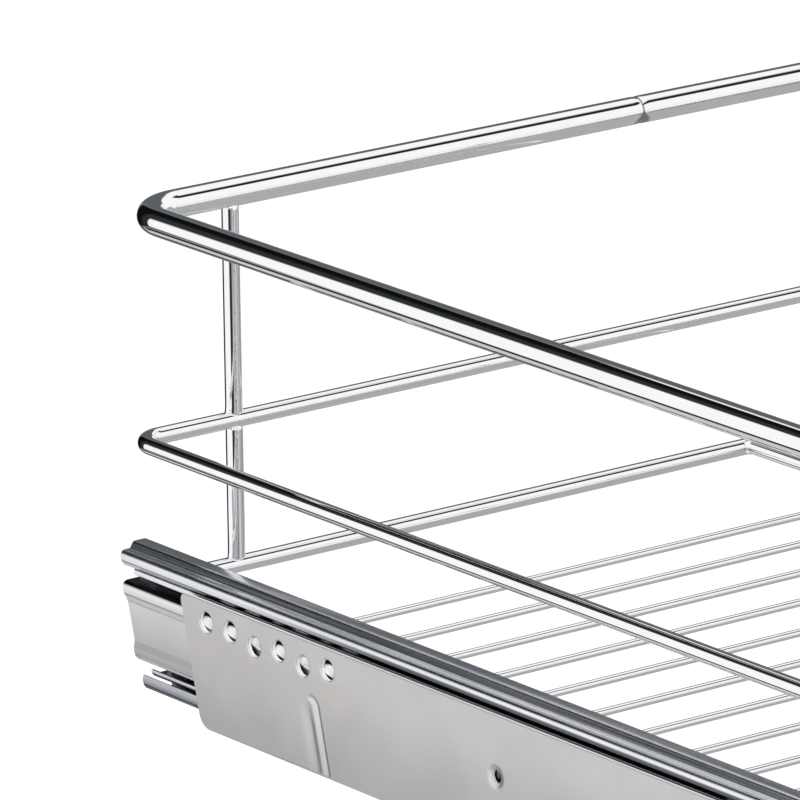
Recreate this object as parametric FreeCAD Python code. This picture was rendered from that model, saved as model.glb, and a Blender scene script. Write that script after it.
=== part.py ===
import FreeCAD, Part
import math
import os

# Pull-out dish rack: a chromed wire basket hung between two telescopic ball slides, whose plates
# screw flat to the inner faces of a cupboard's side walls.
# Millimetres. +X is to the right, the basket pulls out towards -Y, +Z is up.
# The origin is midway between the walls and between the front and rear rims, level with the
# lower edges of the wall plates.

# Overall sizes
opening_width = 564.0      # clear width between the cupboard's side walls
basket_depth = 470.0       # front to rear, between the rim's centre lines
rim_height = 133.0         # centre of the rim above the centre of the bottom rail
mid_height = 52.2          # centre of the middle rail above the centre of the bottom rail

# Rods and wires of the basket
rim_dia = 10.0
rod_dia = 6.0
wire_dia = 2.8
support_dia = 5.0
rim_bend = 18.0            # bend radii are on the centre line
rail_bend = 9.5
post_inset = 41.7          # from the rim's side centre line to a post
wire_count = 12
wire_pitch = 26.2
wire_overhang = 2.0        # how far a floor wire runs past the side rail's centre line
rim_overhang = 1.8         # the rim's side centre line stands this far outside the slide's web

# Telescopic slides. A is measured outwards from the web that carries the basket, B downwards
# from the slide's top.
slide_height = 51.0
slide_depth = 12.65        # from the web to the outer face of the lips
slide_length = 450.0
slide_rise = 18.4          # top of the slide above the centre of the bottom rail
slide_setback = 3.9        # rear end of the slide in front of the rear rim's centre line
end_rake = 15.5            # degrees; the members' rear ends are cut back towards the bottom
middle_setback = 4.5       # the middle member ends this far in front of the other two
outer_sheet = 1.2
middle_sheet = 1.0
inner_sheet = 1.2
cage_sheet = 0.4
ball_dia = 3.7
ball_play = 0.1            # on each side of a ball, and of a cage's web
ball_count = 2             # in each row; a real cage holds more
cage_length = 180.0
pocket_play = 0.15         # around a ball, in its cage
bead_drop = 2.1            # step down from the back of the top flange to its rounded bead
bead_width = 4.65
step_width = 1.8
lip_drop = 1.4             # slanting end of the lip, below the upright part
lip_lean = 0.7             # how far that end leans in
lip_height = 5.4           # foot of the lip's upright part
outer_ball_inset = 3.75    # ball centre inside the outer face of the lips
middle_lip_inset = 1.85    # middle member's lip, likewise
middle_lip_length = 1.9
inner_ball_inset = 4.3
cradle_inset = 6.9         # upturned edge of the wall member, inside the outer face of the lips
cradle_lip = 1.8
crest_proud = 0.1          # the wall member's ears stand this far clear of the lips
ear_proud = 1.0            # and this far proud of its web; the plate lies on them
ear_height = 3.5           # from the flange's centre line to the foot of the ear's flat part
ear_slope = 2.5            # height of the slant from there back to the web
outer_cage_play = 0.25     # between a cage's edge and the lip in front of it
inner_cage_play = 0.3
travel = 450.0

# Bend radii of the rolled sections, on the sheet's centre line
foot_bend = 1.0            # lower end of the large member's lip
bead_bend = 1.6            # the large member's rounded bead
step_bend = 1.2            # both bends of the step beside it
corner_bend = 1.4          # between its web and its flange
middle_lip_bend = 1.1
middle_web_bend = 1.2
cradle_bend = 1.0
ear_crown_bend = 1.8
ear_foot_bend = 2.0

# Stops pressed out of the webs
stop_width = 9.0
stop_reach = 6.2
stop_inset = 18.5          # from the middle member's rear end
wall_stop_reach = 5.75
stop_gap = 0.3
buffer_length = 10.0
buffer_height = 12.0

# Wall plates
plate_sheet = 1.5
plate_height = 45.5
plate_drop = 7.0           # top of the plate below the top of the slide
plate_setback = 39.3       # rear end of the plate in front of the slide's rear end
plate_length = 369.8
plate_rake = 14.0          # degrees; its rear edge and its groove lean
plate_corner = 2.5
plate_foot_corner = 6.0
hole_dia = 7.2
hole_pitch = 13.76
hole_first = 15.3          # from the plate's rear top corner to the first hole
hole_drop = 7.4            # below the plate's top
hole_stagger = 1.9
low_holes = (2, 4)         # counted from 0; these two sit lower
hole_row = 6
screw_dia = 4.8
screw_run = 175.8          # from the plate's rear top corner
screw_drop = 21.2
screw_pitch = 150.0        # to the second screw hole, in front
groove_width = 7.6
groove_run = 71.0
groove_drop = 18.0
groove_depth = 0.7

# Lugs that join the basket to the slides
lug_sheet = 1.5
lug_length = 30.0
lug_height = 22.0
lug_rise = 1.0             # top of the lug above the centre of the bottom rail
lug_inset = 70.0           # lug centre from either end of the slide
rivet_dia = 3.2
rivet_head_dia = 6.4
rivet_head = 1.3
rivet_pitch = 16.0
rivet_drop = 11.0          # below the centre of the bottom rail

# Places worked out from the sizes above
half_opening = opening_width / 2
slide_top = plate_height + plate_drop
frame_z = slide_top - slide_rise
mid_z = frame_z + mid_height
rim_z = frame_z + rim_height
wall_crest = slide_depth + crest_proud + inner_sheet  # outer face of the wall member's ears
wall_web = wall_crest - ear_proud                     # outer face of its web
web_x = half_opening - plate_sheet - wall_crest       # basket side of the slide
rim_x = web_x + rim_overhang
rail_x = web_x - lug_sheet - rod_dia / 2
rear_y = basket_depth / 2
slide_rear = rear_y - slide_setback
slide_front = slide_rear - slide_length
slide_mid = (slide_rear + slide_front) / 2
rake = math.tan(math.radians(end_rake))
plate_lean = math.tan(math.radians(plate_rake))
ball_row_1 = bead_drop + outer_sheet + ball_play + ball_dia / 2
middle_flange = ball_row_1 + ball_dia / 2 + ball_play + middle_sheet / 2
ball_row_2 = middle_flange + middle_sheet / 2 + ball_play + ball_dia / 2
inner_flange = ball_row_2 + ball_dia / 2 + ball_play + inner_sheet / 2
outer_cage_web = outer_sheet + ball_play + cage_sheet / 2
middle_web = outer_cage_web + cage_sheet / 2 + ball_play + middle_sheet / 2
inner_cage_web = middle_web + middle_sheet / 2 + ball_play + cage_sheet / 2


def vec(x, y, z):
    return FreeCAD.Vector(x, y, z)


def save(name, shape):
    if not shape.isValid():
        raise RuntimeError(name + " is not a valid solid")
    shape.exportStep(os.path.join("parts", name + ".step"))


def save_pair(name, shape):
    """Writes a piece of the right slide, and its mirror image for the left."""
    save("right_" + name, shape)
    save("left_" + name, shape.mirror(vec(0, 0, 0), vec(1, 0, 0)))


def bend(before, corner, after, radius, offset):
    """Start, middle and end of a rounded corner, moved sideways by the offset."""
    into = (corner - before).normalize()
    out = (after - corner).normalize()
    side = vec(-into.y, into.x, 0)
    side_out = vec(-out.y, out.x, 0)
    turn = math.atan2(into.x * out.y - into.y * out.x, into.dot(out))
    run = radius * math.tan(abs(turn) / 2)
    start = corner - into * run
    left = 1 if turn > 0 else -1
    centre = start + side * (left * radius)
    middle = centre + (corner - centre).normalize() * (radius - left * offset)
    return start + side * offset, middle, corner + out * run + side_out * offset


def outline(points, radii, offset=0.0, closed=False):
    """Lines and arcs along a flat run of points, with its corners rounded, moved sideways."""
    spots = [vec(p[0], p[1], 0) for p in points]
    count = len(spots)
    corners = range(count) if closed else range(1, count - 1)
    bends = [bend(spots[i - 1], spots[i], spots[(i + 1) % count], radii[i], offset) for i in corners]
    edges = []
    if closed:
        last = bends[-1][2]
    else:
        into = (spots[1] - spots[0]).normalize()
        last = spots[0] + vec(-into.y, into.x, 0) * offset
    for start, middle, end in bends:
        edges.append(Part.LineSegment(last, start).toShape())
        edges.append(Part.Arc(start, middle, end).toShape())
        last = end
    if not closed:
        out = (spots[-1] - spots[-2]).normalize()
        edges.append(Part.LineSegment(last, spots[-1] + vec(-out.y, out.x, 0) * offset).toShape())
    return edges


def ends(edges):
    return edges[0].Vertexes[0].Point, edges[-1].Vertexes[-1].Point


def strip(points, radii, sheet):
    """Flat face of a folded sheet whose centre line runs through the points."""
    one = outline(points, radii, sheet / 2)
    two = outline(points, radii, -sheet / 2)
    start_one, end_one = ends(one)
    start_two, end_two = ends(two)
    closing = [Part.LineSegment(end_one, end_two).toShape(), Part.LineSegment(start_two, start_one).toShape()]
    return Part.Face(Part.Wire(Part.__sortEdges__(one + two + closing)))


def mirrored(half, radii):
    """Adds the lower half of a slide's section to its upper half."""
    other = [(a, slide_height - b) for a, b in reversed(half)]
    return half + other, radii + list(reversed(radii))


def along_slide(face, front, rear):
    """Stands a section drawn in A and B upright in the right slide, and draws it out along Y."""
    turned = face.copy()
    turned.Placement = FreeCAD.Placement(
        vec(web_x, front, slide_top), FreeCAD.Rotation(vec(1, 0, 0), -90)
    ).multiply(turned.Placement)
    return turned.extrude(vec(0, rear - front, 0))


def block(a_low, a_high, y_low, y_high, b_low, b_high):
    """A box given by A, Y and B in the right slide."""
    corner = vec(web_x + a_low, y_low, slide_top - b_high)
    return Part.makeBox(a_high - a_low, y_high - y_low, b_high - b_low, corner)


def rear_end(depth):
    """Y of the raked rear end at a depth below the slide's top."""
    return slide_rear - depth * rake


def rear_waste(setback):
    """Everything behind a raked rear end of the right slide."""
    reach = 2 * slide_height
    over = slide_height
    points = [
        vec(web_x - over, rear_end(-over) - setback, slide_top + over),
        vec(web_x - over, rear_end(reach) - setback, slide_top - reach),
        vec(web_x - over, slide_rear + reach, slide_top - reach),
        vec(web_x - over, slide_rear + reach, slide_top + over),
    ]
    return Part.Face(Part.makePolygon(points + points[:1])).extrude(vec(3 * over, 0, 0))


def member(half, radii, sheet, setback=0.0):
    """One roll-formed member of the right slide, with its rear end raked."""
    points, bends = mirrored(half, radii)
    return along_slide(strip(points, bends, sheet), slide_front, slide_rear).cut(rear_waste(setback))


def rod_between(start, end, diameter):
    return Part.makeCylinder(diameter / 2, (end - start).Length, start, end - start)


def loop(half_x, half_y, z, diameter, bend_radius):
    """A round rod bent into a closed rectangle with rounded corners."""
    path = outline(
        [(-half_x, -half_y), (half_x, -half_y), (half_x, half_y), (-half_x, half_y)],
        [bend_radius] * 4, closed=True,
    )
    wire = Part.Wire(Part.__sortEdges__(path))
    first = wire.Edges[0]
    start = first.valueAt(first.FirstParameter)
    circle = Part.Wire(Part.makeCircle(diameter / 2, start, first.tangentAt(first.FirstParameter)))
    pipe = wire.makePipeShell([circle], True, False)
    pipe.translate(vec(0, 0, z))
    return pipe


def hole_places():
    """Y and Z of the row of holes near the plate's rear end, and of its mirror image in front."""
    plate_rear = slide_rear - plate_setback
    plate_mid = plate_rear - plate_length / 2
    places = []
    for i in range(hole_row):
        y = plate_rear - hole_first - i * hole_pitch
        z = slide_top - plate_drop - hole_drop - (hole_stagger if i in low_holes else 0)
        places += [(y, z), (2 * plate_mid - y, z)]
    return places


def screw_places():
    """Y and Z of the two screw holes of one side."""
    y = slide_rear - plate_setback - screw_run
    z = slide_top - plate_drop - screw_drop
    return [(y, z), (y - screw_pitch, z)]


def drills(places, diameter):
    """Cutters along X that reach through the wall member and the plate of the right slide."""
    start = web_x + wall_web - 2 * inner_sheet
    reach = plate_sheet + ear_proud + 3 * inner_sheet
    return [Part.makeCylinder(diameter / 2, reach, vec(start, y, z), vec(1, 0, 0)) for y, z in places]


def plate_face(x):
    """Outline of the right wall plate. Its rear edge leans like the slide's end."""
    rear = slide_rear - plate_setback
    front = rear - plate_length
    points = [(front, 0), (rear - plate_height * plate_lean, 0), (rear, plate_height), (front, plate_height)]
    edges = outline(points, [plate_foot_corner, plate_foot_corner, plate_corner, plate_corner], closed=True)
    face = Part.Face(Part.Wire(Part.__sortEdges__(edges)))
    face.Placement = FreeCAD.Placement(vec(x, 0, 0), FreeCAD.Rotation(vec(1, 1, 1), 120))
    return face


def plate_groove():
    """Cutter for the pressed groove: deep along its front edge and fading out towards the rear."""
    outer = half_opening
    top = plate_height - groove_drop
    front = slide_rear - plate_setback - groove_run - groove_width
    lean = vec(0, -top * plate_lean, -top)
    wedge = [
        vec(outer - groove_depth, front, top),
        vec(outer + groove_depth, front, top),
        vec(outer + groove_depth, front + groove_width, top),
        vec(outer, front + groove_width, top),
    ]
    body = Part.Face(Part.makePolygon(wedge + wedge[:1])).extrude(lean)
    crown = Part.makeCylinder(
        groove_width / 2, 2 * groove_depth,
        vec(outer - groove_depth, front + groove_width / 2, top - groove_width / 2), vec(1, 0, 0),
    )
    below = Part.makeBox(
        2 * groove_depth, 4 * groove_width, top - groove_width / 2,
        vec(outer - groove_depth, front - 2 * groove_width, 0),
    )
    return body.common(crown.fuse(below))


def balls(inset, row):
    """Both rows of balls of one cage in the right slide."""
    pitch = cage_length / ball_count
    found = []
    for i in range(ball_count):
        y = slide_mid + (i - (ball_count - 1) / 2) * pitch
        for depth in (row, slide_height - row):
            centre = vec(web_x + slide_depth - inset, y, slide_top - depth)
            found.append(Part.makeSphere(ball_dia / 2, centre))
    return Part.makeCompound(found)


def cage(web, row, reach, inset):
    """A ball cage: a folded strip with a round pocket for each ball."""
    points = [(reach, row), (web, row), (web, slide_height - row), (reach, slide_height - row)]
    bends = [0, 2 * cage_sheet, 2 * cage_sheet, 0]
    front = slide_mid - cage_length / 2
    body = along_slide(strip(points, bends, cage_sheet), front, front + cage_length)
    pitch = cage_length / ball_count
    for i in range(ball_count):
        y = slide_mid + (i - (ball_count - 1) / 2) * pitch
        foot = vec(web_x + slide_depth - inset, y, slide_top - slide_height)
        body = body.cut(Part.makeCylinder(ball_dia / 2 + pocket_play, slide_height, foot))
    return body


def stop_place():
    """Front face of the middle member's pressed stop."""
    return slide_rear - stop_inset


def outer_member():
    """Large C section that carries the basket, with a stepped flange and a rounded, returned bead."""
    lip = slide_depth - outer_sheet / 2
    crown = bead_drop + outer_sheet / 2
    step = slide_depth - bead_width
    half = [
        (lip - lip_lean, lip_height + lip_drop),
        (lip, lip_height),
        (lip, crown),
        (step, crown),
        (step - step_width, outer_sheet / 2),
        (outer_sheet / 2, outer_sheet / 2),
    ]
    body = member(half, [0, foot_bend, bead_bend, step_bend, step_bend, corner_bend], outer_sheet)
    for y, z in lug_rivets():
        start = vec(web_x - outer_sheet, y, z)
        body = body.cut(Part.makeCylinder(rivet_dia / 2, 3 * outer_sheet, start, vec(1, 0, 0)))
    return body


def middle_member():
    """Middle section, which runs on the outer rows of balls and carries the inner rows."""
    lip = slide_depth - middle_lip_inset
    half = [(lip, middle_flange + middle_lip_length), (lip, middle_flange), (middle_web, middle_flange)]
    body = member(half, [0, middle_lip_bend, middle_web_bend], middle_sheet, middle_setback)
    centre = slide_height / 2
    low, high = centre - stop_width / 2, centre + stop_width / 2
    front = stop_place()
    face = middle_web + middle_sheet / 2
    window = block(
        face - 2 * middle_sheet, face + middle_sheet, front - stop_reach, front, low, high)
    tab = block(face - middle_sheet, face + stop_reach, front, front + middle_sheet, low, high)
    return body.cut(window).fuse(tab).removeSplitter()


def inner_member():
    """Small section whose ears carry the wall plate and whose upturned edges cradle the inner balls."""
    web = wall_web - inner_sheet / 2
    crest = wall_crest - inner_sheet / 2
    edge = slide_depth - cradle_inset
    foot = inner_flange + ear_height
    half = [
        (edge, inner_flange - cradle_lip),
        (edge, inner_flange),
        (crest, inner_flange),
        (crest, foot),
        (web, foot + ear_slope),
    ]
    body = member(half, [0, cradle_bend, ear_crown_bend, ear_foot_bend, ear_foot_bend], inner_sheet)
    centre = slide_height / 2
    low, high = centre - stop_width / 2, centre + stop_width / 2
    rear = stop_place() - travel / 2 - stop_gap
    face = wall_web - inner_sheet
    window = block(
        face - inner_sheet, face + 2 * inner_sheet, rear - inner_sheet - wall_stop_reach, rear - inner_sheet,
        low, high)
    tab = block(face - wall_stop_reach, face + inner_sheet, rear - inner_sheet, rear, low, high)
    body = body.cut(window).fuse(tab).removeSplitter()
    for drill in drills(screw_places(), screw_dia):
        body = body.cut(drill)
    return body


def buffer_block():
    """Rubber buffer behind the middle member's stop, bonded to the wall member's web."""
    front = stop_place() + middle_sheet + stop_gap
    face = wall_web - inner_sheet
    centre = slide_height / 2
    shape = block(
        face - wall_stop_reach, face, front, front + buffer_length,
        centre - buffer_height / 2, centre + buffer_height / 2)
    upright = [e for e in shape.Edges if abs(e.tangentAt(e.FirstParameter).x) > 0.9]
    return shape.makeFillet(buffer_length / 6, upright)


def wall_plate():
    """Flat plate that lies on the cupboard's side wall."""
    body = plate_face(half_opening - plate_sheet).extrude(vec(plate_sheet, 0, 0))
    body = body.cut(plate_groove())
    for drill in drills(hole_places(), hole_dia) + drills(screw_places(), screw_dia):
        body = body.cut(drill)
    return body


def lug_centres():
    return (slide_rear - lug_inset, slide_front + lug_inset)


def lug_rivets():
    """Y and Z of the rivets through the lugs of one side."""
    z = frame_z - rivet_drop
    return [(y + side * rivet_pitch / 2, z) for y in lug_centres() for side in (-1, 1)]


def lug(centre_y):
    """Flat lug under the side rail, riveted to the slide's web."""
    corner = vec(web_x - lug_sheet, centre_y - lug_length / 2, frame_z + lug_rise - lug_height)
    body = Part.makeBox(lug_sheet, lug_length, lug_height, corner)
    across = [e for e in body.Edges if abs(e.tangentAt(e.FirstParameter).x) > 0.9]
    body = body.makeFillet(lug_height / 8, across)
    for y, z in lug_rivets():
        start = vec(web_x - 2 * lug_sheet, y, z)
        body = body.cut(Part.makeCylinder(rivet_dia / 2, 3 * lug_sheet, start, vec(1, 0, 0)))
    return body


def rivet(y, z):
    """A rivet turned as one profile: a domed head on the lug and a shank set flush in the web."""
    radius = rivet_head_dia / 2
    bulge = (radius ** 2 + rivet_head ** 2) / (2 * rivet_head)
    half = math.asin(radius / bulge) / 2
    top = vec(-rivet_head, 0, 0)
    rim = vec(0, radius, 0)
    shoulder = vec(bulge * (1 - math.cos(half)) - rivet_head, bulge * math.sin(half), 0)
    depth = lug_sheet + outer_sheet
    shank = rivet_dia / 2
    flats = Part.makePolygon([rim, vec(0, shank, 0), vec(depth, shank, 0), vec(depth, 0, 0), top])
    edges = [Part.Arc(top, shoulder, rim).toShape()] + flats.Edges
    turned = Part.Face(Part.Wire(Part.__sortEdges__(edges))).revolve(vec(0, 0, 0), vec(1, 0, 0), 360)
    turned.translate(vec(web_x - lug_sheet, y, z))
    return turned


def rivets():
    """All rivets of one side."""
    return Part.makeCompound([rivet(y, z) for y, z in lug_rivets()])


def slides():
    """Both slides, their plates and their lugs."""
    save_pair("basket_member", outer_member())
    save_pair("middle_member", middle_member())
    save_pair("wall_member", inner_member())
    save_pair("wall_plate", wall_plate())
    save_pair("buffer", buffer_block())
    outer_reach = slide_depth - outer_sheet - outer_cage_play
    save_pair("outer_cage", cage(outer_cage_web, ball_row_1, outer_reach, outer_ball_inset))
    save_pair("outer_balls", balls(outer_ball_inset, ball_row_1))
    inner_reach = slide_depth - middle_lip_inset - middle_sheet / 2 - inner_cage_play
    save_pair("inner_cage", cage(inner_cage_web, ball_row_2, inner_reach, inner_ball_inset))
    save_pair("inner_balls", balls(inner_ball_inset, ball_row_2))
    rear_lug, front_lug = lug_centres()
    save_pair("rear_lug", lug(rear_lug))
    save_pair("front_lug", lug(front_lug))
    save_pair("lug_rivets", rivets())


def basket():
    """The wire basket: three bent loops, the posts between them, and the floor."""
    rim = loop(rim_x, rear_y, rim_z, rim_dia, rim_bend)
    middle = loop(rim_x, rear_y, mid_z, rod_dia, rail_bend)
    bottom = loop(rail_x, rear_y, frame_z, rod_dia, rail_bend)
    save("top_rim", rim)
    save("mid_rail", middle)
    save("bottom_rail", bottom)
    for end, y in (("rear", rear_y), ("front", -rear_y)):
        for side, sign in (("left", -1), ("right", 1)):
            x = sign * (rim_x - post_inset)
            upper = rod_between(vec(x, y, mid_z), vec(x, y, rim_z), rod_dia)
            lower = rod_between(vec(x, y, frame_z), vec(x, y, mid_z), rod_dia)
            save(f"{end}_{side}_upper_post", upper.cut(rim).cut(middle))
            save(f"{end}_{side}_lower_post", lower.cut(bottom).cut(middle))
    support_z = frame_z + rod_dia / 2 - support_dia / 2
    support = rod_between(vec(0, -rear_y, support_z), vec(0, rear_y, support_z), support_dia)
    save("centre_support", support.cut(bottom))
    wire_z = frame_z + rod_dia / 2 + wire_dia / 2
    reach = rail_x + wire_overhang
    for i in range(wire_count):
        y = ((wire_count - 1) / 2 - i) * wire_pitch
        save(f"floor_wire_{i + 1:02d}", rod_between(vec(-reach, y, wire_z), vec(reach, y, wire_z), wire_dia))


os.makedirs("parts", exist_ok=True)
slides()
basket()
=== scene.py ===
import math

import bmesh
import bpy
from mathutils import Matrix, Vector
from mathutils.geometry import delaunay_2d_cdt


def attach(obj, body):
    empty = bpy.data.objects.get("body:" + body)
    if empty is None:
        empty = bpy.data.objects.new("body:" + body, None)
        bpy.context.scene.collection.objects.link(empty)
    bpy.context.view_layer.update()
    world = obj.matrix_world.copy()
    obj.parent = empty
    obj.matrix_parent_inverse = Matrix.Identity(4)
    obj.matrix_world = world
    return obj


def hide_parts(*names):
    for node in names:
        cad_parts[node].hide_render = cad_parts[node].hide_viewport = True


# Looks of the pull-out dish rack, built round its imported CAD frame. Blender works in metres, and the
# sizes below are in millimetres. +X is to the right, the basket pulls out towards -Y, +Z is up.
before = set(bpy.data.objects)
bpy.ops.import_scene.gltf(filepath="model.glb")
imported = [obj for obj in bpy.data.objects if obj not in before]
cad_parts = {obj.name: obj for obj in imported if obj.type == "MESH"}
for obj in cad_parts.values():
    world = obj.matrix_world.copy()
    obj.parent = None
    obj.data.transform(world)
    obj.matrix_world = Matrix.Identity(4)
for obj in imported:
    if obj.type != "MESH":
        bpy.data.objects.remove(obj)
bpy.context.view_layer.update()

MM = 0.001
SIDES = (("left", -1), ("right", 1))
ENDS = (("rear", 1), ("front", -1))

# Basket
RIM_X = 268.35             # the rim's and the middle rail's side runs, from the middle
RAIL_X = 262.05            # the bottom rail's side runs
REAR_Y = 235.0             # the rear runs, and in front the same
RIM_Z = 167.1
MID_Z = 86.3
FRAME_Z = 34.1
RIM_R = 5.0
ROD_R = 3.0
WIRE_R = 1.4
SUPPORT_R = 2.5
RIM_BEND = 18.0
RAIL_BEND = 9.5
POST_X = 226.65
WIRE_COUNT = 12
WIRE_PITCH = 26.2
WIRE_REACH = 264.05
WIRE_Z = 38.5
WIRE_EASE = 0.3            # rounding of a wire's ends
WELD_DEPTH = 0.7           # how far the weld under a wire reaches down
WIRE_WELD = ((1.2, 0.9), (0, 1.0), (-1.2, 0.9), (-2.4, 0.4), (-3.2, 0.0))  # past RAIL_X, share of depth
SUPPORT_WELD = ((1.0, 0.45), (0, 0.4), (-0.8, 0.15), (-1.6, 0.0))    # past the rail's face, thickening
SEAM_X = -49.5             # butt weld in the rim's rear run
SEAM_REACH = 3.0           # length of the rounded shoulder on each side of it
SEAM_DEPTH = 0.3
RIM_UNDER = 0.02           # the rim is this much thinner, to stay under the CAD's facets

# Slides. A runs outwards from the web next to the basket, B down from the slide's top
WEB_X = 266.55
SLIDE_TOP = 52.5
SLIDE_FRONT = -218.9
SLIDE_REAR = 231.1
SLIDE_HEIGHT = 51.0
RAKE = math.tan(math.radians(15.5))
THICK_SHEET = 1.2          # of the basket member and the wall member
THIN_SHEET = 1.0           # of the middle member
SHEET_EASE = 0.18          # rounding of all sheet edges
MIDDLE_SETBACK = 4.5       # the middle member ends this far in front of the other two
MIDDLE_WEB_A = 2.8         # wall side of the middle member's web
WALL_WEB_A = 11.75         # basket side of the wall member's web
STOP_LOW = 22.5            # the stops' height range
STOP_HIGH = 31.5
STOP_Y = 212.6             # front face of the middle member's stop
STOP_REACH = 6.2           # how far it stands out, and the length of its window
WALL_STOP_Y = -12.7        # rear face of the wall member's stop
WALL_STOP_REACH = 5.75
DRILL_SPAN = (-2, 3)       # where a screw hole's cutter starts and ends, from the wall member's web

# Wall plate
PLATE_FACE = 282.0
PLATE_SHEET = 1.5
PLATE_REAR = 191.8
PLATE_FRONT = -178.0
PLATE_HEIGHT = 45.5
PLATE_MIDDLE = 6.0         # the front row of holes mirrors the rear row about this Y
PLATE_FOOT_R = 6.0
PLATE_TOP_R = 2.5
LEAN = math.tan(math.radians(14.0))
HOLE_COUNT = 6             # in a row
HOLE_REAR = 176.5          # Y of the rearmost hole
HOLE_PITCH = 13.76
HOLE_Z = 38.1
HOLE_LOW_Z = 36.2
LOW_HOLES = (2, 4)         # counted from 0 at the plate's end
HOLE_R = 3.6
HOLE_ROLL = 0.45           # rounding of the punched holes' outer edge
HOLE_RINGS = (0.12, 0.4, 1.0, 1.5, 2.4)        # rings of points round such a hole, as shares of it
DIMPLE_RINGS = (0.4, 0.8, 1.2, 1.6, 2.1, 3.0)  # and round a screw hole, in millimetres
SCREWS = ((16.0, 24.3), (-134.0, 24.3))
SCREW_R = 2.4
DIMPLE_DEPTH = 0.4
DIMPLE_REACH = 2           # beyond the screw hole's edge
GROOVE_TOP = 27.5
GROOVE_FRONT = 113.2       # at its top; it leans with the plate's rear edge
GROOVE_R = 3.8             # rounding of its top
GROOVE_DEPTH = 0.5
GROOVE_DIP = 0.25          # how far the sheet behind the groove is drawn in


# Node trees

def node(tree, kind, inputs=None, **settings):
    """Adds a shader node, sets its properties, and links or sets its inputs."""
    made = tree.nodes.new("ShaderNode" + kind)
    for key, value in settings.items():
        setattr(made, key, value)
    for key, value in (inputs or {}).items():
        if isinstance(value, bpy.types.NodeSocket):
            tree.links.new(value, made.inputs[key])
        else:
            made.inputs[key].default_value = value
    return made


def calc(tree, operation, one, two=0.0):
    return node(tree, "Math", {0: one, 1: two}, operation=operation).outputs[0]


def ramp(tree, value, low, high, start=0.0, end=1.0):
    """A soft step of the value from one number to another."""
    inputs = {"Value": value, "From Min": low, "From Max": high, "To Min": start, "To Max": end}
    return node(tree, "MapRange", inputs, interpolation_type="SMOOTHSTEP").outputs["Result"]


def band(tree, value, low, high, soft):
    """1 between low and high, 0 outside, with soft ends."""
    up = ramp(tree, value, low - soft, low + soft)
    down = ramp(tree, value, high - soft, high + soft, 1.0, 0.0)
    return calc(tree, "MULTIPLY", up, down)


def axes(tree, vector):
    """The X, Y and Z parts of a vector."""
    return node(tree, "SeparateXYZ", {0: vector}).outputs


def facing(tree):
    """The X, Y and Z parts of the direction in which the surface faces."""
    return axes(tree, node(tree, "TexCoord").outputs["Normal"])


def blend_colour(tree, factor, one, two):
    return node(tree, "Mix", {0: factor, 6: one, 7: two}, data_type="RGBA").outputs[2]


def noise(tree, place, scale, detail=2.0, stretch=None):
    """Noise in the piece's own metres, drawn out along an axis where stretch is given."""
    if stretch:
        place = node(tree, "Mapping", {"Vector": place, "Scale": stretch}).outputs[0]
    return node(tree, "TexNoise", {"Vector": place, "Scale": scale, "Detail": detail}).outputs["Fac"]


# Camera, light and floor

VIEW = (-36.7388, 16.0716, -0.8119)     # azimuth, elevation and roll in degrees
AIM = (-155.15, 235.0, 80.01)           # seen in the middle of the picture
DISTANCE = 3303.39
PICTURE_WIDTH = 800
FOCAL_PIXELS = 9460.2                   # focal length in the picture's pixels
SENSOR_WIDTH = 36.0

# Lamps and floor are in metres. A lamp has a name, a place, a size and a power in watts
LAMPS = (("key", (-1.6, -2.2, 2.6), 2.4, 60), ("fill", (2.2, -0.6, 2.4), 2.0, 30))
FLOOR_HALF = 6.0
FLOOR_Z = -0.5


def add_camera():
    """Camera at the photograph's place, with its slight roll and its long lens."""
    azimuth, elevation, roll = (math.radians(v) for v in VIEW)
    back = Vector((math.sin(azimuth) * math.cos(elevation), -math.cos(azimuth) * math.cos(elevation),
                   math.sin(elevation)))
    right = Vector((math.cos(azimuth), math.sin(azimuth), 0))
    up = back.cross(right)
    level = right * math.cos(roll) + up * math.sin(roll)
    upright = up * math.cos(roll) - right * math.sin(roll)
    data = bpy.data.cameras.new("camera")
    data.sensor_width = SENSOR_WIDTH
    data.lens = SENSOR_WIDTH * FOCAL_PIXELS / PICTURE_WIDTH
    camera = bpy.data.objects.new("camera", data)
    turn = Matrix((level, upright, back)).transposed().to_4x4()
    camera.matrix_world = Matrix.Translation(Vector(AIM) * MM + back * (DISTANCE * MM)) @ turn
    bpy.context.scene.collection.objects.link(camera)
    bpy.context.scene.camera = camera


# Areas of the studio that the polished metal mirrors, later ones over earlier ones: from and to in
# azimuth, counted from +Y towards +X, and in elevation, how soft the edge is, and brightness
STUDIO = (
    (-180, 180, -90, 0, 2.0, 0.42),
    (-125, -20, -27, 2, 3.0, 1.0),
    (105, 178, -12, 2, 3.0, 1.0),
    (-75, -5, -90, -46, 4.0, 0.95),
    (-60, 2, -46, -33, 2.0, 0.62),
    (-32, 20, -24, 50, 2.0, 0.03),
    (-14, 20, -24, 50, 8.0, 0.005),
    (20, 62, -28, 36, 3.0, 0.12),
    (82, 112, -24, -8, 4.0, 0.26),
    (95, 172, 41, 52, 1.5, 0.02),
    (-150, -118, -34, -4, 4.0, 0.03),
    (-180, -160, -28, -8, 4.0, 0.24),
    (146, 168, -24, -13, 4.0, 0.66),
    (-50, -12, -33, -25, 0.8, 0.03),
    (2, 22, -70, -24, 3.0, 0.08),
)
SLIT = (14, 22, 1.5)       # a narrow bright area: azimuth from and to, softness
SLIT_Y = (0.7575, 0.753)   # it fades in where the direction's Y part falls from one to the other
SLIT_BRIGHTNESS = 0.95
LEVEL_ON_MATT = 0.75       # what lights matt surfaces
TINGE = 0.08               # how much bluer the darker areas are


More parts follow.
